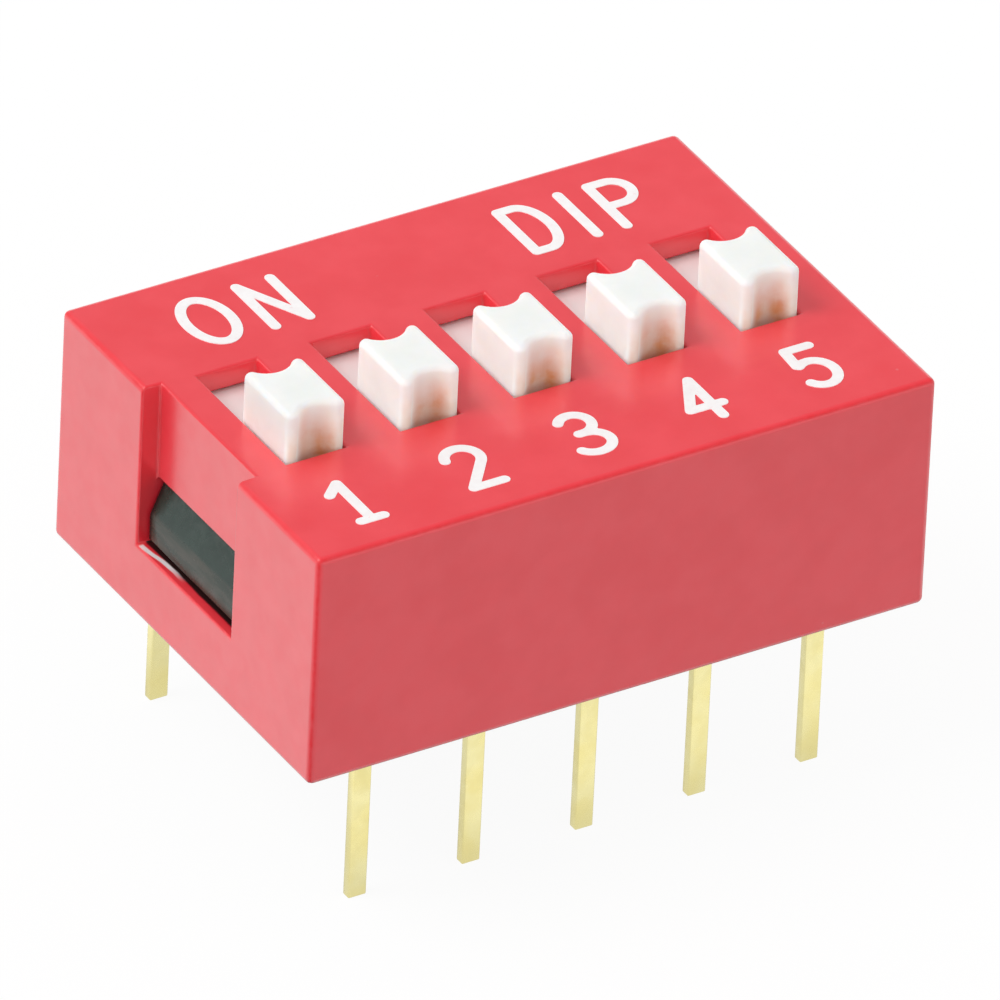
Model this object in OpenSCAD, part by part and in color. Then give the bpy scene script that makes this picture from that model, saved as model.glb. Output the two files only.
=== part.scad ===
// Slide DIP switch with through-hole pins, in millimetres.
// z = 0 is the seating plane (the rim of the cover), +x runs from position 1 to
// the last position, and +y points to the ON side. Every slider is OFF here.

/* [Grid] */
// number of switch positions
positions = 5;           // [2:1:10]
// spacing of the positions
pitch = 2.54;            // [2.0:0.01:3.1]
// spacing of the two pin rows
row_span = 7.62;         // [6.3:0.01:9.2]

/* [Cover] */
// seating plane to the top of the cover
cover_ht = 5.2;          // [4.3:0.05:6.3]
// thickness of the cover's top
top_thk = 0.5;           // [0.4:0.01:0.6]
// thickness of the cover's long side walls
side_wall = 0.62;        // [0.5:0.01:0.8]
// thickness of the cover's end walls
end_wall = 0.68;         // [0.56:0.01:0.85]
// width of the latch window in each end wall
window_wid = 3.6;        // [3.0:0.05:4.4]
// height of the sill under a latch window
sill_z = 1.58;           // [1.3:0.01:1.9]
// height of a latch window
window_ht = 1.45;        // [1.2:0.01:1.75]
// depth of the channel over the window at position 1, open at the top
channel_dep = 0.42;      // [0.3:0.01:0.5]

/* [Base] */
// underside of the base above the seating plane
standoff = 0.2;          // [0.1:0.01:0.3]
// floor of the cells above the seating plane
floor_z = 1.4;           // [1.1:0.01:1.7]
// thickness of the base's end walls
base_end_wall = 0.26;    // [0.2:0.01:0.35]
// thickness of the base's long side walls
base_side_wall = 0.3;    // [0.2:0.01:0.4]
// width of the ledge under each edge of a slider's flange
rail_wid = 0.13;         // [0.1:0.01:0.16]
// how far the latches stand out of the end walls
latch_out = 0.46;        // [0.35:0.01:0.56]
// height of the upright face of a latch, below its slope
latch_face = 0.58;       // [0.45:0.01:0.7]
// how far the upper edge of that slope stands out of the end wall
latch_lip = 0.15;        // [0.1:0.01:0.2]

/* [Slider] */
// width of the knob
knob_wid = 1.3;          // [1.05:0.01:1.6]
// length of the knob along its travel
knob_len = 1.76;         // [1.45:0.01:2.15]
// knob height above the cover
knob_ht = 1.05;          // [0.85:0.01:1.3]
// depth of the thumb groove in the front and the back of the knob
groove_dep = 0.24;       // [0.2:0.01:0.29]
// radius of the knob's rounded corners, seen from above
knob_round = 0.14;       // [0.11:0.01:0.17]
// slide travel from OFF to ON
travel = 1.62;           // [1.35:0.01:2.0]
// thickness of the flange that slides under the cover
flange_thk = 0.55;       // [0.45:0.01:0.66]
// overlap of the flange under each side of the slot
flange_lap = 0.13;       // [0.1:0.01:0.16]
// overlap of the flange past the far end of the slot
flange_cover = 0.2;      // [0.1:0.01:0.25]
// length of the holder that carries the contact spring
holder_len = 1.5;        // [1.25:0.01:1.8]
// width of the plug that locates the contact spring
plug_wid = 0.36;         // [0.3:0.01:0.43]
// how far the plug stands out below the spring's seat
plug_out = 0.1;          // [0.05:0.01:0.2]

/* [Terminals] */
// pin width
pin_wid = 0.4;           // [0.33:0.01:0.6]
// sheet thickness of the pins and contact pads
pin_thk = 0.22;          // [0.18:0.01:0.27]
// pin length below the seating plane
pin_len = 3.7;           // [3.0:0.05:4.5]
// inner radius of the bend between pin and pad
bend_rad = 0.1;          // [0.08:0.01:0.12]
// width of the contact pads
pad_wid = 0.9;           // [0.7:0.01:1.1]
// front pad beyond the inner contact point when OFF
pad_beyond = 0.21;       // [0.15:0.01:0.25]
// back pad before the outer contact point when ON
pad_before = 0.7;        // [0.5:0.01:0.85]

/* [Contact springs] */
// distance between the two contact points of a spring
contact_span = 2.0;      // [1.7:0.01:2.4]
// height of a spring over the pads
spring_ht = 1.35;        // [1.1:0.01:1.6]
// length of the flat seat of a spring
seat_len = 1.1;          // [0.9:0.01:1.3]
// spring strip width
strip_wid = 0.7;         // [0.58:0.01:0.85]
// spring strip thickness
strip_thk = 0.1;         // [0.08:0.01:0.12]
// radius of the rounded contact points
tip_rad = 0.2;           // [0.16:0.01:0.24]

/* [Fits] */
// running clearance around the flanges of the sliders
run_gap = 0.05;          // [0.04:0.01:0.08]
// clearance between knob and slot, each side
slot_gap = 0.02;         // [0.01:0.01:0.05]
// clearance between base and cover, each side
fit_gap = 0.03;          // [0.01:0.01:0.05]
// clearance below a latch, half of it above and on each side
latch_gap = 0.1;         // [0.05:0.01:0.12]
// air beside the contact pads
sheet_gap = 0.03;        // [0.01:0.01:0.05]
// clearance beside the holders
holder_gap = 0.1;        // [0.05:0.01:0.14]
// clearance between plug and contact spring, each side
plug_gap = 0.02;         // [0.01:0.01:0.05]
// clearance between spring points and contact pads
touch_gap = 0.02;        // [0.01:0.01:0.04]

/* [Hidden] */
cut = 0.2;               // overshoot of cutting bodies
lap = 0.1;               // how far joined bodies run into each other
$fn = 96;                // facets of a full circle

// cover and base, from the slider outwards
slot_wid = knob_wid + 2 * slot_gap;
slot_len = knob_len + travel + 2 * slot_gap;
flange_wid = slot_wid + 2 * flange_lap;
flange_len = slot_len + travel + 2 * flange_cover;
cell_x = flange_wid / 2 + run_gap;
lower_x = cell_x - rail_wid;
pin_y = row_span / 2;
cell_y = max(pin_y + pin_thk / 2 + sheet_gap, (flange_len + travel) / 2 + run_gap);
row_half = (positions - 1) * pitch / 2;
base_x = row_half + cell_x + base_end_wall;
base_y = cell_y + base_side_wall;
hollow_x = base_x + fit_gap;
hollow_y = base_y + fit_gap;
cover_x = hollow_x + end_wall;
cover_y = hollow_y + side_wall;

// heights, from the top down
hollow_z = cover_ht - top_thk;
flange_top = hollow_z - run_gap;
flange_bot = flange_top - flange_thk;
rail_z = flange_bot - run_gap;
window_top = sill_z + window_ht;

// heights, from the floor up
pad_top = floor_z + pin_thk;
tip_z = pad_top + touch_gap + tip_rad;
seat_z = pad_top + touch_gap + spring_ht;

// when OFF both points of a spring are on the front pad, and when ON one is on
// each pad
off_y = -travel / 2;
tip_y = contact_span / 2;
front_pad_end = tip_y - travel / 2 + pad_beyond;
back_pad_end = tip_y + travel / 2 - pad_before;

// the thumb groove's arc, which runs smoothly into the arcs of the two corners
corner_x = knob_wid / 2 - knob_round;
corner_y = knob_len / 2 - knob_round;
groove_end = knob_len / 2 - groove_dep;
groove_y = corner_x * corner_x / (2 * groove_dep) + (corner_y + groove_end - knob_round) / 2;
groove_rad = groove_y - groove_end;
meet_y = groove_y + (corner_y - groove_y) * groove_rad / (groove_rad + knob_round);

RED = [0.86, 0.13, 0.17];
BLACK = [0.07, 0.08, 0.08];
WHITE = [0.94, 0.93, 0.90];
GOLD = [0.86, 0.74, 0.32];

function pos_x(n) = (n - (positions + 1) / 2) * pitch;

// box between two opposite corners
module span(low, high) {
    translate(low) cube(high - low);
}

// box centred on x = 0
module bar(wid, y0, y1, z0, z1) {
    span([-wid / 2, y0, z0], [wid / 2, y1, z1]);
}

// the children, and the same turned half round the z axis
module both_ways() {
    for (turn = [0, 180]) rotate([0, 0, turn]) children();
}

// ---------------------------------------------------------------- cover

module cover() {
    color(RED)
    difference() {
        span([-cover_x, -cover_y, 0], [cover_x, cover_y, cover_ht]);
        // hollow that takes the base
        span([-hollow_x, -hollow_y, -cut], [hollow_x, hollow_y, hollow_z]);
        // slots for the knobs
        for (n = [1 : positions])
            translate([pos_x(n), 0, 0])
                bar(slot_wid, -slot_len / 2, slot_len / 2, hollow_z - cut, cover_ht + cut);
        // latch windows
        both_ways()
            span([hollow_x - cut, -window_wid / 2, sill_z],
                 [cover_x + cut, window_wid / 2, window_top]);
        // channel at the end of position 1
        span([-cover_x - cut, -window_wid / 2, sill_z],
             [channel_dep - cover_x, window_wid / 2, cover_ht + cut]);
    }
}

// ---------------------------------------------------------------- base

// wedge that snaps into a window, flat below and sloped above
module latch() {
    face_x = base_x + latch_out;
    lip_x = base_x + latch_lip;
    bottom = sill_z + latch_gap;
    top = window_top - latch_gap / 2;
    wid = window_wid - latch_gap;
    translate([0, wid / 2, 0])
        rotate([90, 0, 0])
            linear_extrude(wid)
                polygon([
                    [base_x - lap, bottom],
                    [face_x, bottom],
                    [face_x, bottom + latch_face],
                    [lip_x, top],
                    [base_x - lap, top]
                ]);
}

// space for one slider, its contact spring and its two contact pads
module cell() {
    // upper part guides the flange, and its floor is the pair of rails
    bar(2 * cell_x, -cell_y, cell_y, rail_z, hollow_z + cut);
    // lower part, down to the level of the pads' contact faces
    bar(2 * lower_x, -cell_y, cell_y, pad_top, rail_z + cut);
    // beds of the two pads, with the barrier between them
    bar(2 * lower_x, -cell_y, front_pad_end + sheet_gap, floor_z, pad_top + cut);
    bar(2 * lower_x, back_pad_end - sheet_gap, cell_y, floor_z, pad_top + cut);
    // pin holes, with relief for the bends
    both_ways() {
        bar(pin_wid, pin_y - pin_thk / 2, pin_y + pin_thk / 2, 0, floor_z + cut);
        bar(pin_wid + 2 * sheet_gap, pin_y - pin_thk / 2 - bend_rad - sheet_gap,
            pin_y + pin_thk / 2 + sheet_gap, floor_z - 2 * bend_rad, floor_z + cut);
    }
}

module base() {
    color(BLACK)
    union() {
        difference() {
            span([-base_x, -base_y, standoff], [base_x, base_y, hollow_z]);
            for (n = [1 : positions])
                translate([pos_x(n), 0, 0]) cell();
        }
        both_ways() latch();
    }
}

// ---------------------------------------------------------------- sliders

// outline of the knob from above
module knob_outline() {
    difference() {
        union() {
            square([knob_wid, 2 * corner_y], center = true);
            square([2 * corner_x, 2 * meet_y], center = true);
            for (x = [-corner_x, corner_x], y = [-corner_y, corner_y])
                translate([x, y]) circle(r = knob_round);
        }
        // thumb grooves in the front and the back
        for (y = [-groove_y, groove_y])
            translate([0, y]) circle(r = groove_rad);
    }
}

module actuator(n) {
    plug_bot = seat_z - strip_thk - plug_out;
    color(WHITE)
    translate([pos_x(n), off_y, 0])
    union() {
        bar(flange_wid, -flange_len / 2, flange_len / 2, flange_bot, flange_top);
        translate([0, 0, flange_top - lap])
            linear_extrude(cover_ht + knob_ht - flange_top + lap)
                knob_outline();
        // holder and plug for the contact spring
        bar(2 * (lower_x - holder_gap), -holder_len / 2, holder_len / 2, seat_z, flange_bot + lap);
        bar(plug_wid, -plug_wid / 2, plug_wid / 2, plug_bot, seat_z + lap);
    }
}

// bridge contact: a flat seat with two sprung arms and rounded points
module contact_spring(n) {
    half_seat = seat_len / 2;
    hole = plug_wid + 2 * plug_gap;
    // an arm's centreline, and half its thickness across that line
    root = [half_seat - strip_thk / 2, seat_z - strip_thk / 2];
    tip = [tip_y, tip_z];
    along = (tip - root) / norm(tip - root);
    side = [-along[1], along[0]] * strip_thk / 2;
    color(GOLD)
    translate([pos_x(n), off_y, 0])
    union() {
        difference() {
            bar(strip_wid, -half_seat, half_seat, seat_z - strip_thk, seat_z);
            bar(hole, -hole / 2, hole / 2, seat_z - strip_thk - cut, seat_z + cut);
        }
        both_ways() {
            // arm
            translate([-strip_wid / 2, 0, 0])
                rotate([90, 0, 90])
                    linear_extrude(strip_wid)
                        polygon([root - side, root + side, tip + side, tip - side]);
            // contact point
            translate([-strip_wid / 2, tip_y, tip_z])
                rotate([0, 90, 0])
                    cylinder(r = tip_rad, h = strip_wid);
        }
    }
}

// ---------------------------------------------------------------- terminals

// pin of the back row, bent over the floor into a pad that stops at pad_end
module terminal(pad_end) {
    bend_y = pin_y - pin_thk / 2 - bend_rad;
    bend_z = floor_z - bend_rad;
    union() {
        bar(pin_wid, pin_y - pin_thk / 2, pin_y + pin_thk / 2, -pin_len, bend_z);
        translate([-pin_wid / 2, bend_y, bend_z])
            rotate([90, 0, 90])
                rotate_extrude(angle = 90)
                    translate([bend_rad, 0]) square([pin_thk, pin_wid]);
        bar(pad_wid, pad_end, bend_y, floor_z, pad_top);
    }
}

module terminal_front(n) {
    color(GOLD)
    translate([pos_x(n), 0, 0])
        rotate([0, 0, 180]) terminal(-front_pad_end);
}

module terminal_back(n) {
    color(GOLD)
    translate([pos_x(n), 0, 0]) terminal(back_pad_end);
}

// ---------------------------------------------------------------- assembly

function numbered(name) = [for (n = [1 : positions]) str(name, "_", n)];

cover();
base();
for (n = [1 : positions]) {
    actuator(n);
    contact_spring(n);
    terminal_front(n);
    terminal_back(n);
}
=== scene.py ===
import math

import bmesh
import bpy
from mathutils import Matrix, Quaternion, Vector, geometry


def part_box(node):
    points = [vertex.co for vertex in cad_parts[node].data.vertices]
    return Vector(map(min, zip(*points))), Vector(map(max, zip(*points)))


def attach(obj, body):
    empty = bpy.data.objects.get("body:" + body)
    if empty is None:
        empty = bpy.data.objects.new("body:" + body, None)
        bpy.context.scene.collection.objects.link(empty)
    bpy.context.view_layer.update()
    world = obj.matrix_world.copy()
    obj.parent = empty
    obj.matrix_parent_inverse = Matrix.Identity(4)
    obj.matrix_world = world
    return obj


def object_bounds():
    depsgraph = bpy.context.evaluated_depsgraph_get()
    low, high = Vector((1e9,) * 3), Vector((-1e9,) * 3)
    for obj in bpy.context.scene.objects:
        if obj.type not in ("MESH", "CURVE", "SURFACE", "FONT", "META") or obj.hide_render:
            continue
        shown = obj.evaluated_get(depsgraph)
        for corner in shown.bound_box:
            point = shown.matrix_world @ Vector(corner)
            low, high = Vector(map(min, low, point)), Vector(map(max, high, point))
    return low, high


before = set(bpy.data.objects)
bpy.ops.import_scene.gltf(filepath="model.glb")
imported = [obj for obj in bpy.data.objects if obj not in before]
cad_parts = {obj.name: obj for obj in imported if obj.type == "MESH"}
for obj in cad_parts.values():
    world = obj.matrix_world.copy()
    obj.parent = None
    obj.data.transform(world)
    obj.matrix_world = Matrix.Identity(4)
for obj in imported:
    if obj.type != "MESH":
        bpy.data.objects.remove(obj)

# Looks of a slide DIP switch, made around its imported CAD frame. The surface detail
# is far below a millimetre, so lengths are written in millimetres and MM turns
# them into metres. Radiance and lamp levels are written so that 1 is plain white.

CAD_LOW, CAD_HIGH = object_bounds()
MM = 0.001
POSITIONS = sum(name.startswith("actuator_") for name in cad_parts)

# places on the part
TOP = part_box("cover")[1].z / MM          # top of the cover
LEFT_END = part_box("cover")[0].x / MM     # outside of the end at position 1
LATCH_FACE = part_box("base")[1].x / MM    # outside of the latches, from the middle
LATCH_HALF = 1.75                        # half the width of a latch
SILL = 1.58                              # height of the sills of the latch windows
FOOT_DEPTH = 1.6                         # from the top of a knob down to its flange
KNOB_REACH = 1.0                         # just over half the length of a knob
NEAR = 0.01                              # how close to a face counts as on it

# rounding of the edges
ROUND_OUTSIDE = 0.14
ROUND_OPENINGS = 0.06
ROUND_KNOB_TOP = 0.125
ROUND_SLIDER = 0.04
ROUND_BASE = 0.03
ROUND_SPRING = 0.015
ROUND_TERMINAL = 0.03
FLAT_ANGLE = 1.0
SHARP_ANGLE = 35.0

# camera
VIEW_AZIMUTH = -32.18
VIEW_ELEVATION = 33.67
VIEW_ROLL = 2.80
VIEW_DISTANCE = 550.0
LENS = 1025.0
AIM_RIGHT = 0.158
AIM_UP = 0.272

# light
KEY = 0.36
KEY_AZIMUTH = -105.0
KEY_ELEVATION = 52.0
KEY_ANGLE = 30.0
SKY_LOW = 1.52                           # on matt surfaces, from the horizon
SKY_HIGH = 0.42                          # on matt surfaces, from straight above
HIGH_SKY_SEEN = 0.29                     # in gloss, from high up
GLOSS_SKY_FADE = (0.15, 0.45)            # heights between which the sky dims in gloss

# floor
FLOOR_HALF = 600.0
FLOOR_COLOUR = 0.10                      # for the light that it throws onto the part
FLOOR_SEEN = 0.93                        # share of its white that glows, so shadows stay faint
FRONT_DIMMER = 0.20                      # painted shade: how much less of it shows in gloss in front
FRONT_FADE = (-10.0, -7.0)
UNDER_PART = 0.78                        # painted shadow: share of it that shows in gloss under the part
UNDER_FADE = (-1.0, 1.0)

NOISE_RANGE = (0.3, 0.7)                 # noise rarely leaves it
EDGE_TO_FLAT = (0.74, 0.99)              # largest part of the normal, from edge to flat


# ---------------------------------------------------------------- node trees

class Tree:
    """Node tree of a material or the world, with a call for each kind of node."""

    def __init__(self, owner):
        owner.use_nodes = True
        self.nodes = owner.node_tree.nodes
        self.links = owner.node_tree.links

    def put(self, value, socket):
        """Links a socket, or sets a plain value."""
        if isinstance(value, bpy.types.NodeSocket):
            self.links.new(value, socket)
        else:
            socket.default_value = value

    def math(self, operation, first, second=0.0):
        node = self.nodes.new("ShaderNodeMath")
        node.operation = operation
        self.put(first, node.inputs[0])
        self.put(second, node.inputs[1])
        return node.outputs[0]

    def product(self, first, *others):
        for other in others:
            first = self.math("MULTIPLY", first, other)
        return first

    def ramp(self, value, low, high, to_low=0.0, to_high=1.0):
        """Maps low..high of value to to_low..to_high, smoothly and clamped."""
        node = self.nodes.new("ShaderNodeMapRange")
        node.interpolation_type = "SMOOTHSTEP"
        self.put(value, node.inputs["Value"])
        limits = (low, high, to_low, to_high)
        for name, limit in zip(("From Min", "From Max", "To Min", "To Max"), limits):
            node.inputs[name].default_value = limit
        return node.outputs[0]

    def axes(self, vector):
        """The three parts of a vector socket."""
        node = self.nodes.new("ShaderNodeSeparateXYZ")
        self.links.new(vector, node.inputs[0])
        return node.outputs[:3]

    def by_ray(self, seen, in_gloss, otherwise):
        """Value for camera rays, for glossy and transmission rays, and for the rest."""
        path = self.nodes.new("ShaderNodeLightPath")
        shiny = self.math("MAXIMUM", path.outputs["Is Glossy Ray"],
                          path.outputs["Is Transmission Ray"])
        value = otherwise
        for share, level in ((shiny, in_gloss), (path.outputs["Is Camera Ray"], seen)):
            mix = self.nodes.new("ShaderNodeMix")
            self.put(share, mix.inputs["Factor"])
            self.put(value, mix.inputs["A"])
            self.put(level, mix.inputs["B"])
            value = mix.outputs[0]
        return value


class Surface(Tree):
    """Node tree of one material, around its Principled shader."""

    def __init__(self, name):
        self.material = bpy.data.materials.new(name)
        super().__init__(self.material)
        self.shader = self.nodes["Principled BSDF"]
        coordinates = self.nodes.new("ShaderNodeTexCoord")
        scaled = self.nodes.new("ShaderNodeVectorMath")
        scaled.operation = "SCALE"
        scaled.inputs["Scale"].default_value = 1 / MM
        self.links.new(coordinates.outputs["Object"], scaled.inputs[0])
        self.place = scaled.outputs[0]
        self.normal = coordinates.outputs["Normal"]

    def noise(self, per_mm, detail=2.0, stretch=(1, 1, 1), shift=0.0):
        """Noise with about per_mm features in a millimetre."""
        node = self.nodes.new("ShaderNodeTexNoise")
        node.inputs["Scale"].default_value = per_mm
        node.inputs["Detail"].default_value = detail
        moved = self.nodes.new("ShaderNodeMapping")
        moved.inputs["Scale"].default_value = stretch
        moved.inputs["Location"].default_value = (shift, shift, shift)
        self.links.new(self.place, moved.inputs["Vector"])
        self.links.new(moved.outputs[0], node.inputs["Vector"])
        return node.outputs[0]

    def drift(self, per_mm, detail=2.0, shift=0.0, low=0.0, high=1.0):
        """Value that wanders from low to high over the surface."""
        return self.ramp(self.noise(per_mm, detail, shift=shift), *NOISE_RANGE, low, high)

    def sway(self, per_mm, shift, width):
        """Length that wanders about zero, within half the width either way."""
        centred = self.math("SUBTRACT", self.noise(per_mm, shift=shift), 0.5)
        return self.math("MULTIPLY", centred, width)

    def mix(self, share, first, second):
        """Colour between first and second."""
        node = self.nodes.new("ShaderNodeMix")
        node.data_type = "RGBA"
        self.put(share, node.inputs[0])
        for value, socket in ((first, node.inputs[6]), (second, node.inputs[7])):
            self.put((*value, 1) if isinstance(value, tuple) else value, socket)
        return node.outputs[2]

    def specks(self, per_mm, share, radius):
        """Mask of small round specks, in a share of the cells of a grid."""
        node = self.nodes.new("ShaderNodeTexVoronoi")
        node.inputs["Scale"].default_value = per_mm
        self.links.new(self.place, node.inputs["Vector"])
        near = self.ramp(node.outputs["Distance"], radius * 0.4, radius, 1.0, 0.0)
        chosen = self.math("LESS_THAN", self.axes(node.outputs["Color"])[0], share)
        return self.math("MULTIPLY", near, chosen)

    def edges(self):
        """Mask of the rounded edges, where the surface faces none of the axes."""
        parts = [self.math("ABSOLUTE", part) for part in self.axes(self.normal)]
        most = self.math("MAXIMUM", self.math("MAXIMUM", parts[0], parts[1]), parts[2])
        return self.ramp(most, *EDGE_TO_FLAT, 1.0, 0.0)

    def bump(self, *layers):
        """Bump from pairs of (height socket, height in millimetres)."""
        last = None
        for height, depth in layers:
            node = self.nodes.new("ShaderNodeBump")
            node.inputs["Distance"].default_value = depth * MM
            self.links.new(height, node.inputs["Height"])
            if last is not None:
                self.links.new(last, node.inputs["Normal"])
            last = node.outputs[0]
        self.links.new(last, self.shader.inputs["Normal"])

    def set(self, **values):
        """Sets sockets of the shader, with _ for a space in a name."""
        for name, value in values.items():
            socket = self.shader.inputs[name.replace("_", " ")]
            if socket.type == "RGBA" and isinstance(value, tuple):
                value = (*value, 1)
            self.put(value, socket)
        return self.material


# ---------------------------------------------------------------- materials

def on_sill(t, y, z):
    """Mask of the sills of the two windows."""
    margin = 0.04
    level = t.math("LESS_THAN", t.math("ABSOLUTE", t.math("SUBTRACT", z, SILL)), margin)
    between = t.math("LESS_THAN", t.math("ABSOLUTE", y), LATCH_HALF + margin)
    return t.math("MULTIPLY", level, between)


def sill_scuff(t):
    """Mask of a painted highlight, a pale line along the sill at position 1."""
    x, y, z = t.axes(t.place)
    start, bend, end = 0.2, 0.9, 1.75
    inward = t.math("ADD", t.ramp(y, bend, end, 0.19, 0.09), t.sway(1.3, 1.0, 0.12))
    across = t.math("ABSOLUTE", t.math("SUBTRACT", x, t.math("ADD", inward, LEFT_END)))
    line = t.ramp(across, 0.03, 0.07, 1.0, 0.0)
    span = t.product(t.ramp(y, start, bend), t.ramp(y, end - 0.03, end + 0.03, 1.0, 0.0))
    return t.product(line, span, on_sill(t, y, z))


def sill_grime(t):
    """Mask of painted shade, a dark band on the sills against the latches."""
    x, y, z = t.axes(t.place)
    reach = t.math("ADD", t.math("ABSOLUTE", x), t.sway(2.0, 4.0, 0.05))
    near = t.ramp(reach, LATCH_FACE, LATCH_FACE + 0.06, 1.0, 0.0)
    return t.math("MULTIPLY", near, on_sill(t, y, z))


def red_plastic():
    """Glossy moulded red, faintly mottled, with a few pale specks and dulled edges."""
    t = Surface("red_plastic")
    colour = t.mix(t.drift(0.9, 3.0), (0.94, 0.027, 0.046), (0.98, 0.040, 0.062))
    colour = t.mix(t.product(t.specks(1.1, 0.05, 0.05), 0.5), colour, (0.9, 0.2, 0.22))
    worn = t.product(t.edges(), t.drift(6.0, shift=3.0, low=0.5))
    colour = t.mix(worn, colour, (0.88, 0.015, 0.028))
    # painted shade: the sills turn nearly black against the latches, where the gap under them is
    # in shade
    colour = t.mix(sill_grime(t), colour, (0.03, 0.008, 0.008))
    # painted highlight: a pale line along the sill at position 1
    colour = t.mix(sill_scuff(t), colour, (0.97, 0.93, 0.93))
    rough = t.math("ADD", t.drift(2.3, 4.0, 7.0, 0.28, 0.38), t.product(worn, 0.12))
    t.bump((t.noise(1.6, detail=1.0), 0.0030), (t.noise(4.0), 0.0009))
    return t.set(Base_Color=colour, Roughness=rough, IOR=1.6,
                 Coat_Weight=t.math("SUBTRACT", 1.0, worn), Coat_Roughness=0.25, Coat_IOR=1.6)


def black_plastic():
    """Moulded black of the base, slightly green, with painted light and shade on the latches."""
    t = Surface("black_plastic")
    x, y = (t.math("ABSOLUTE", part) for part in t.axes(t.place)[:2])
    colour = t.mix(t.drift(1.5, 3.0), (0.006, 0.025, 0.017), (0.012, 0.036, 0.026))
    # painted highlight on top of edge wear: the rounded edges are made paler
    worn = t.product(t.edges(), t.ramp(t.noise(7.0, shift=2.0), 0.35, 0.65))
    colour = t.mix(t.product(worn, 0.7), colour, (0.14, 0.15, 0.14))
    # painted light: the outer faces of the latches are made paler, in streaks
    lines = t.noise(2.2, detail=4.0, stretch=(1, 0.4, 3), shift=6.0)
    latch_painted_light = t.product(t.ramp(x, LATCH_FACE - 0.05, LATCH_FACE - 0.01),
                       t.ramp(lines, 0.35, 0.65, 0.35, 1.0))
    colour = t.mix(latch_painted_light, colour, (0.060, 0.060, 0.047))
    # painted shade: nearly black towards the ends of the latches and beyond, where the gaps
    # beside them are in shade
    latch_end_painted_shade = t.ramp(y, LATCH_HALF - 0.14, LATCH_HALF - 0.05)
    colour = t.mix(latch_end_painted_shade, colour, (0.002, 0.006, 0.005))
    t.bump((t.noise(2.5, detail=1.0), 0.0020), (t.noise(18.0), 0.0003))
    return t.set(Base_Color=colour, Roughness=t.drift(3.0, 4.0, 5.0, 0.2, 0.34), IOR=1.5)


def groove_dirt(t):
    """Mask of painted shade, brown, low on the knobs and deepest in the grooves."""
    low, high = (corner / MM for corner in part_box("actuator_1"))
    x, y, z = t.axes(t.place)
    pitch = slider_x(2) - slider_x(1)
    groove_x = slider_x(1) + 0.08
    across = t.math("PINGPONG", t.math("SUBTRACT", x, groove_x), pitch / 2)
    along = t.math("ABSOLUTE", t.math("SUBTRACT", y, (low.y + high.y) / 2))
    groove = t.product(t.ramp(across, 0.16, 0.62, 1.0, 0.0), t.ramp(along, 0.55, 0.68))
    # the painted shade reaches, weaker, onto the sides and front
    sides_and_front = t.ramp(along, 0.80, 0.87, 0.14, 0.5)
    film = t.math("MAXIMUM", groove, sides_and_front)
    sunk = t.product(t.ramp(z, TOP, high.z, 1.0, 0.06), t.ramp(z, TOP - 0.5, TOP - 0.3))
    return t.product(film, sunk, t.drift(3.0, 3.0, 8.0, 0.65, 0.9))


def white_plastic():
    """Milky satin white of the sliders, with painted shade low on the knobs, and painted light
    and opaque under the cover.
    """
    t = Surface("white_plastic")
    colour = t.mix(t.drift(1.8, 3.0), (0.86, 0.895, 0.875), (0.89, 0.92, 0.905))
    # painted light: under the cover the white is made brighter, and opaque, to lift the shaded
    # flange seen in the slots
    covered = t.ramp(t.axes(t.place)[2], TOP - 0.45, TOP - 0.30, 1.0, 0.0)
    colour = t.mix(covered, colour, (0.99, 0.99, 0.98))
    colour = t.mix(t.product(t.specks(2.6, 0.08, 0.05), 0.2), colour, (0.45, 0.40, 0.33))
    # painted shade: brown, low on the knobs and deepest in the grooves
    colour = t.mix(groove_dirt(t), colour, (0.77, 0.22, 0.02))
    t.bump((t.noise(2.8, detail=1.0), 0.0030), (t.noise(20.0), 0.0003))
    t.shader.subsurface_method = "RANDOM_WALK"
    t.shader.inputs["Subsurface Radius"].default_value = (0.4, 0.35, 0.3)
    return t.set(Base_Color=colour, Roughness=t.drift(3.5, 4.0, 4.0, 0.28, 0.42), IOR=1.45,
                 Subsurface_Weight=t.math("SUBTRACT", 1.0, covered), Subsurface_Scale=1.0 * MM)


def gold_plate():
    """Pale gold plating on drawn strip, with fine lines along the pins."""
    t = Surface("gold_plate")
    colour = t.mix(t.drift(1.3, 3.0), (0.97, 0.86, 0.38), (1.0, 0.92, 0.48))
    colour = t.mix(t.product(t.specks(2.0, 0.06, 0.06), 0.3), colour, (0.62, 0.50, 0.22))
    lines = t.noise(14.0, detail=0.0, stretch=(1, 1, 0.04))
    t.bump((lines, 0.0001), (t.noise(1.5, detail=1.0), 0.0015))
    return t.set(Base_Color=colour, Roughness=t.drift(4.0, 3.0, 6.0, 0.22, 0.36), Metallic=1.0)


def spring_bronze():
    """Rolled bronze strip of the contact springs, with a light plating."""
    t = Surface("spring_bronze")
    colour = t.mix(t.drift(2.0, 3.0), (0.78, 0.56, 0.25), (0.86, 0.68, 0.36))
    t.bump((t.noise(25.0, detail=1.0, stretch=(1, 0.05, 1)), 0.0005))
    return t.set(Base_Color=colour, Roughness=t.drift(5.0, 3.0, 6.0, 0.2, 0.34), Metallic=1.0)


def white_ink():
    """Printed white, uneven at the scale of the dots it was pressed on with."""
    t = Surface("white_ink")
    colour = t.mix(t.drift(5.0, 3.0), (0.95, 0.91, 0.91), (0.98, 0.96, 0.96))
    thin = t.ramp(t.noise(16.0, shift=9.0), 0.62, 0.8)
    colour = t.mix(t.product(thin, 0.35), colour, (0.95, 0.55, 0.57))
    t.bump((t.noise(12.0), 0.0010))
    return t.set(Base_Color=colour, Roughness=t.drift(8.0, 2.0, 2.0, 0.35, 0.55), IOR=1.45)


# ---------------------------------------------------------------- CAD nodes

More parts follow.
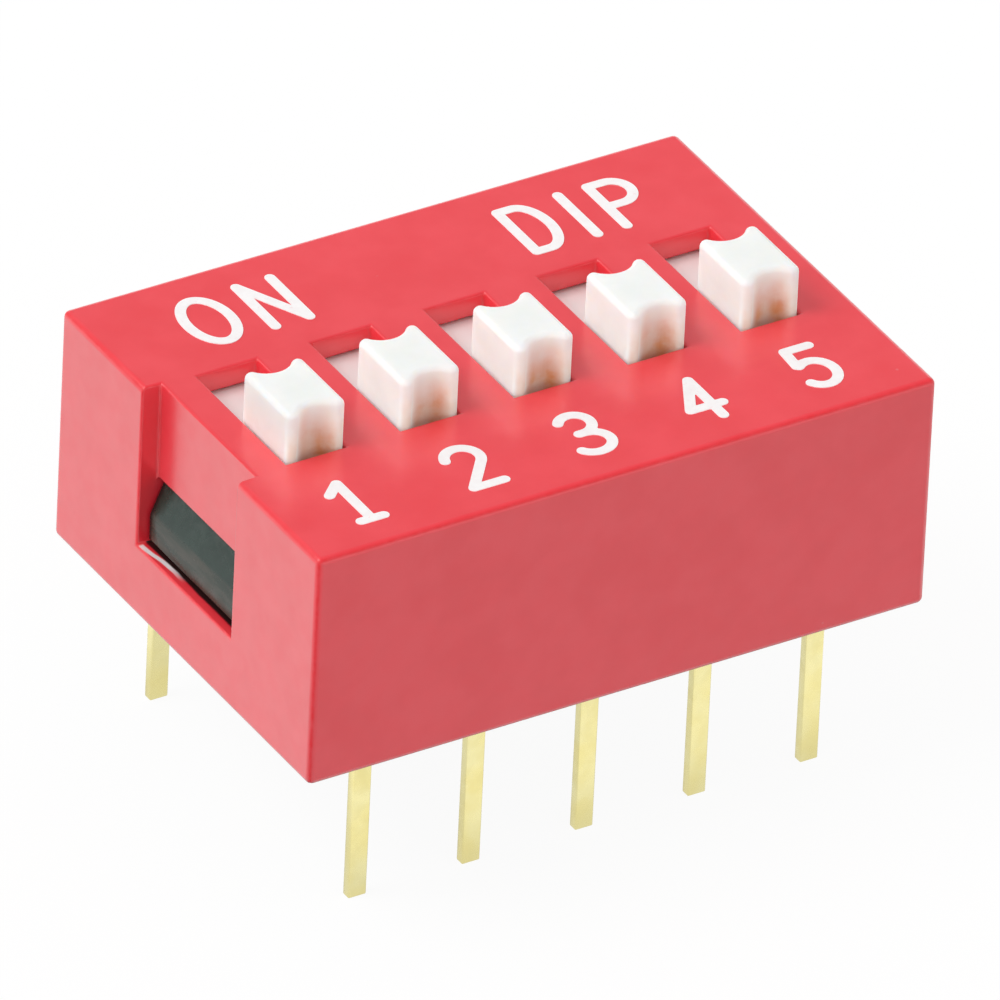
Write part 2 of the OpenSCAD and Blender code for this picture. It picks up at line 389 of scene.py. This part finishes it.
def add_group(node, name, belongs):
    """Vertex group of the points, in millimetres, for which belongs is true."""
    members = [v.index for v in node.data.vertices if belongs(v.co / MM)]
    node.vertex_groups.new(name=name).add(members, 1.0, "REPLACE")


def merge_flats(node):
    """Joins the node's split points and dissolves the triangles of its flats."""
    node.modifiers.new("join_points", "WELD").merge_threshold = 0.001 * MM
    flats = node.modifiers.new("merge_flats", "DECIMATE")
    flats.decimate_type = "DISSOLVE"
    flats.angle_limit = math.radians(FLAT_ANGLE)


def round_edges(node, name, radius, segments=3, group=None):
    """Rounds the edges of a vertex group, or every sharp edge."""
    bevel = node.modifiers.new(name, "BEVEL")
    bevel.width = radius * MM
    bevel.segments = segments
    # a clamp would shrink every radius to suit the node's smallest detail, and
    # sliding along slanted edges would leave the node's box
    bevel.use_clamp_overlap = False
    bevel.loop_slide = False
    if group:
        bevel.limit_method = "VGROUP"
        bevel.vertex_group = group
    else:
        bevel.limit_method = "ANGLE"
        bevel.angle_limit = math.radians(SHARP_ANGLE)


def drop_weights(node, group):
    """Clears a group once it has been used, because rounding leaves odd weights in it."""
    clear = node.modifiers.new("drop_weights", "VERTEX_WEIGHT_EDIT")
    clear.vertex_group = group
    clear.use_remove = True
    clear.remove_threshold = 1.0


def dress(node, material):
    """Gives a node its material, and smooth shading that leaves the flats flat."""
    even = node.modifiers.new("even_shading", "WEIGHTED_NORMAL")
    even.keep_sharp = False
    even.weight = 100
    node.data.materials[0] = material


def finish_cover(node, material):
    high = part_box(node.name)[1] / MM

    def outer(p):
        """True on the outer edges, where two outside faces meet."""
        gaps = (abs(abs(p.x) - high.x), abs(abs(p.y) - high.y), min(abs(p.z - high.z), abs(p.z)))
        return sum(gap < NEAR for gap in gaps) > 1

    add_group(node, "outer", outer)
    merge_flats(node)
    round_edges(node, "round_outside", ROUND_OUTSIDE, segments=4, group="outer")
    round_edges(node, "round_openings", ROUND_OPENINGS)
    drop_weights(node, "outer")
    dress(node, material)


def finish_slider(node, material):
    low, high = (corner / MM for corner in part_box(node.name))
    middle = (low.y + high.y) / 2
    foot = high.z - FOOT_DEPTH

    def in_body(p):
        """True below the knob, apart from the outline of its foot."""
        at_foot = p.z > foot - NEAR and abs(p.y - middle) < KNOB_REACH
        return p.z < foot + NEAR and not at_foot

    add_group(node, "top_rim", lambda p: p.z > high.z - NEAR)
    add_group(node, "body", in_body)
    merge_flats(node)
    round_edges(node, "round_top", ROUND_KNOB_TOP, segments=5, group="top_rim")
    round_edges(node, "round_body", ROUND_SLIDER, group="body")
    dress(node, material)


def finish_cad_nodes():
    black, white, bronze, gold = black_plastic(), white_plastic(), spring_bronze(), gold_plate()
    evenly_rounded = {
        "base": (black, ROUND_BASE),
        "contact_spring": (bronze, ROUND_SPRING),
        "terminal": (gold, ROUND_TERMINAL),
    }
    finish_cover(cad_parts["cover"], red_plastic())
    for name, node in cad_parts.items():
        if name.startswith("actuator"):
            finish_slider(node, white)
        for kind, (material, radius) in evenly_rounded.items():
            if name.startswith(kind):
                merge_flats(node)
                round_edges(node, "round_edges", radius)
                dress(node, material)


# ---------------------------------------------------------------- legends

def arc(x, y, rx, ry, start, end, steps=20):
    """Points on an ellipse from start to end, in degrees."""
    turns = [math.radians(start + (end - start) * i / steps) for i in range(steps + 1)]
    return [(x + rx * math.cos(a), y + ry * math.sin(a)) for a in turns]


STROKE = 0.22
GRID = 0.025                             # of the points that the outlines are found on
INK_THICKNESS = 0.015
SMALLEST_EDGE = 0.003

# strokes of each sign about its own centre, with half its height
LETTER = 0.76
DIGIT = 0.665
SIGNS = {
    "O": [arc(0, 0, 0.46, LETTER, 0, 360, 48)],
    "N": [[(-0.38, -LETTER), (-0.38, LETTER), (0.38, -LETTER), (0.38, LETTER)]],
    "D": [[(-0.37, LETTER), (-0.37, -LETTER), (-0.05, -LETTER)]
          + arc(-0.05, 0, 0.42, LETTER, -90, 90)
          + [(-0.37, LETTER)]],
    "I": [[(0, -LETTER), (0, LETTER)]],
    "P": [[(-0.37, -LETTER), (-0.37, LETTER), (0.0, LETTER)]
          + arc(0.0, 0.37, 0.37, 0.39, 90, -90)
          + [(-0.37, -0.02)]],
    "1": [[(-0.38, 0.36), (-0.05, DIGIT), (-0.05, -DIGIT)], [(-0.28, -DIGIT), (0.22, -DIGIT)]],
    "2": [arc(0, 0.31, 0.36, 0.355, 170, -35) + [(-0.32, -DIGIT), (0.36, -DIGIT)]],
    "3": [arc(-0.02, 0.34, 0.33, 0.325, 150, -90) + [(-0.12, 0.015)],
          arc(-0.02, -0.33, 0.39, 0.345, 90, -150)],
    "4": [[(0.16, -DIGIT), (0.16, DIGIT), (-0.34, -0.27), (0.38, -0.27)]],
    "5": [[(0.32, DIGIT), (-0.22, DIGIT), (-0.26, 0.12)]
          + arc(0.0, -0.24, 0.37, 0.43, 128, -145)],
}

# each word as (sign, x, y), and the digits' shift from their sliders and their line
WORDS = {
    "legend_on": [("O", -4.58, 3.25), ("N", -3.15, 3.26)],
    "legend_type": [("D", 2.67, 3.22), ("I", 3.67, 3.22), ("P", 4.70, 3.22)],
}
DIGIT_SHIFT = -0.12
DIGIT_LINE = -3.42


def distance_to(strokes, x, y):
    """Distance from a point to the nearest stroke."""
    point = Vector((x, y))
    best = math.inf
    for stroke in strokes:
        for a, b in zip(stroke, stroke[1:]):
            a, b = Vector(a), Vector(b)
            along = b - a
            share = (point - a).dot(along) / max(along.length_squared, 1e-12)
            best = min(best, (point - a - along * min(max(share, 0), 1)).length)
    return best


def outline(strokes):
    """Points and edges where the distance to the strokes is half their width."""
    xs = [p[0] for s in strokes for p in s]
    ys = [p[1] for s in strokes for p in s]
    margin = STROKE / 2 + 2 * GRID
    low = (min(xs) - margin, min(ys) - margin)
    columns = int((max(xs) + margin - low[0]) / GRID) + 2
    rows = int((max(ys) + margin - low[1]) / GRID) + 2
    depth = {}
    for i in range(columns):
        for j in range(rows):
            x, y = low[0] + i * GRID, low[1] + j * GRID
            depth[i, j] = distance_to(strokes, x, y) - STROKE / 2
    points, number, edges = [], {}, []

    def crossing(a, b):
        """Number of the outline point on the grid line from a to b."""
        key = (min(a, b), max(a, b))
        if key not in number:
            share = depth[a] / (depth[a] - depth[b])
            number[key] = len(points)
            points.append(Vector((low[0] + (a[0] + (b[0] - a[0]) * share) * GRID,
                                  low[1] + (a[1] + (b[1] - a[1]) * share) * GRID)))
        return number[key]

    for i in range(columns - 1):
        for j in range(rows - 1):
            corners = [(i, j), (i + 1, j), (i + 1, j + 1), (i, j + 1)]
            sides = zip(corners, corners[1:] + corners[:1])
            cut = [crossing(a, b) for a, b in sides if (depth[a] < 0) != (depth[b] < 0)]
            edges += list(zip(cut[::2], cut[1::2]))
    return points, edges


def add_sign(tool, sign, x, y):
    """Adds the thin film of one sign, centred on x, y, to a bmesh."""
    strokes = SIGNS[sign]
    points, edges = outline(strokes)
    filled = geometry.delaunay_2d_cdt(points, edges, [], 1, 1e-6)
    points, faces = filled[0], filled[2]
    lower, upper = [
        [tool.verts.new(((p.x + x) * MM, (p.y + y) * MM, z * MM)) for p in points]
        for z in (TOP - INK_THICKNESS, TOP + INK_THICKNESS)]
    rim = {}
    for face in faces:
        middle = sum((points[i] for i in face), Vector((0, 0))) / 3
        if distance_to(strokes, *middle) > STROKE / 2:
            continue
        tool.faces.new([upper[i] for i in face])
        tool.faces.new([lower[i] for i in reversed(face)])
        for a, b in zip(face, face[1:] + face[:1]):
            if (b, a) in rim:
                del rim[b, a]
            else:
                rim[a, b] = True
    for a, b in rim:
        tool.faces.new([lower[a], lower[b], upper[b], upper[a]])


def add_legend(name, signs, material):
    """One printed piece on the housing, from (sign, x, y)."""
    tool = bmesh.new()
    for sign, x, y in signs:
        add_sign(tool, sign, x, y)
    loose = [v for v in tool.verts if not v.link_faces]
    bmesh.ops.delete(tool, geom=loose, context="VERTS")
    bmesh.ops.remove_doubles(tool, verts=tool.verts[:], dist=SMALLEST_EDGE * MM)
    mesh = bpy.data.meshes.new(name)
    tool.to_mesh(mesh)
    tool.free()
    mesh.materials.append(material)
    piece = bpy.data.objects.new(name, mesh)
    bpy.context.scene.collection.objects.link(piece)
    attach(piece, "housing")


def slider_x(number):
    """Middle of a position."""
    low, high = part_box(f"actuator_{number}")
    return (low.x + high.x) / 2 / MM


def add_legends():
    ink = white_ink()
    for name, signs in WORDS.items():
        add_legend(name, signs, ink)
    for number in range(1, POSITIONS + 1):
        place = (str(number), slider_x(number) + DIGIT_SHIFT, DIGIT_LINE)
        add_legend(f"legend_{number}", [place], ink)


# ---------------------------------------------------------------- stage

def direction(azimuth, elevation):
    """Unit vector from the object towards a place seen at these angles."""
    a, e = math.radians(azimuth), math.radians(elevation)
    return Vector((math.sin(a) * math.cos(e), -math.cos(a) * math.cos(e), math.sin(e)))


def add_camera():
    back = direction(VIEW_AZIMUTH, VIEW_ELEVATION)
    turn = (-back).to_track_quat("-Z", "Y")
    aim = (CAD_LOW + CAD_HIGH) / 2 + turn @ Vector((AIM_RIGHT * MM, AIM_UP * MM, 0))
    data = bpy.data.cameras.new("camera")
    data.lens = LENS
    camera = bpy.data.objects.new("camera", data)
    camera.location = aim + back * VIEW_DISTANCE * MM
    camera.rotation_mode = "QUATERNION"
    camera.rotation_quaternion = turn @ Quaternion((0, 0, 1), math.radians(VIEW_ROLL))
    bpy.context.scene.collection.objects.link(camera)
    bpy.context.scene.camera = camera


def add_key():
    data = bpy.data.lights.new("key", "SUN")
    data.energy = KEY * math.pi
    data.angle = math.radians(KEY_ANGLE)
    key = bpy.data.objects.new("key", data)
    key.rotation_mode = "QUATERNION"
    key.rotation_quaternion = direction(KEY_AZIMUTH, KEY_ELEVATION).to_track_quat("Z", "Y")
    bpy.context.scene.collection.objects.link(key)


def add_sky():
    """White to the camera, and in gloss white near the horizon and dimmer higher up."""
    world = bpy.data.worlds.new("sky")
    bpy.context.scene.world = world
    t = Tree(world)
    height = t.axes(t.nodes.new("ShaderNodeTexCoord").outputs["Generated"])[2]
    in_gloss = t.ramp(height, *GLOSS_SKY_FADE, 1.0, HIGH_SKY_SEEN)
    on_matt = t.ramp(height, 0.0, 1.0, SKY_LOW, SKY_HIGH)
    background = t.nodes["Background"].inputs
    background["Color"].default_value = (1, 1, 1, 1)
    t.put(t.by_ray(1.0, in_gloss, on_matt), background["Strength"])


def add_floor():
    """Pale paper, which the camera sees as white apart from the object's shadow, with painted
    shadow in gloss.
    """
    half = FLOOR_HALF * MM
    mesh = bpy.data.meshes.new("floor")
    corners = [(-half, -half, 0), (half, -half, 0), (half, half, 0), (-half, half, 0)]
    mesh.from_pydata(corners, [], [(0, 1, 2, 3)])
    floor = bpy.data.objects.new("floor", mesh)
    floor.location.z = CAD_LOW.z
    bpy.context.scene.collection.objects.link(floor)

    t = Surface("floor")
    x, y, _ = t.axes(t.place)
    outside = [t.math("SUBTRACT", t.math("ABSOLUTE", part), edge / MM)
               for part, edge in ((x, CAD_HIGH.x), (y, CAD_HIGH.y))]
    # painted shadow in gloss under the part, and painted shade in gloss in front of it
    under = t.ramp(t.math("MAXIMUM", *outside), *UNDER_FADE, UNDER_PART, 1.0)
    front = t.ramp(y, *FRONT_FADE, FLOOR_SEEN - FRONT_DIMMER, FLOOR_SEEN)
    # nothing of it shows from below
    side = t.nodes.new("ShaderNodeNewGeometry")
    above = t.math("SUBTRACT", 1.0, side.outputs["Backfacing"])
    t.set(Base_Color=t.by_ray(1 - FLOOR_SEEN, 1 - FLOOR_SEEN, FLOOR_COLOUR), Roughness=1.0,
          Specular_IOR_Level=0.0, Emission_Color=(1, 1, 1), Alpha=above,
          Emission_Strength=t.by_ray(FLOOR_SEEN, t.product(front, under), 0.0))
    mesh.materials.append(t.material)


bpy.context.scene.view_settings.view_transform = "Standard"
finish_cad_nodes()
add_legends()
add_camera()
add_key()
add_sky()
add_floor()
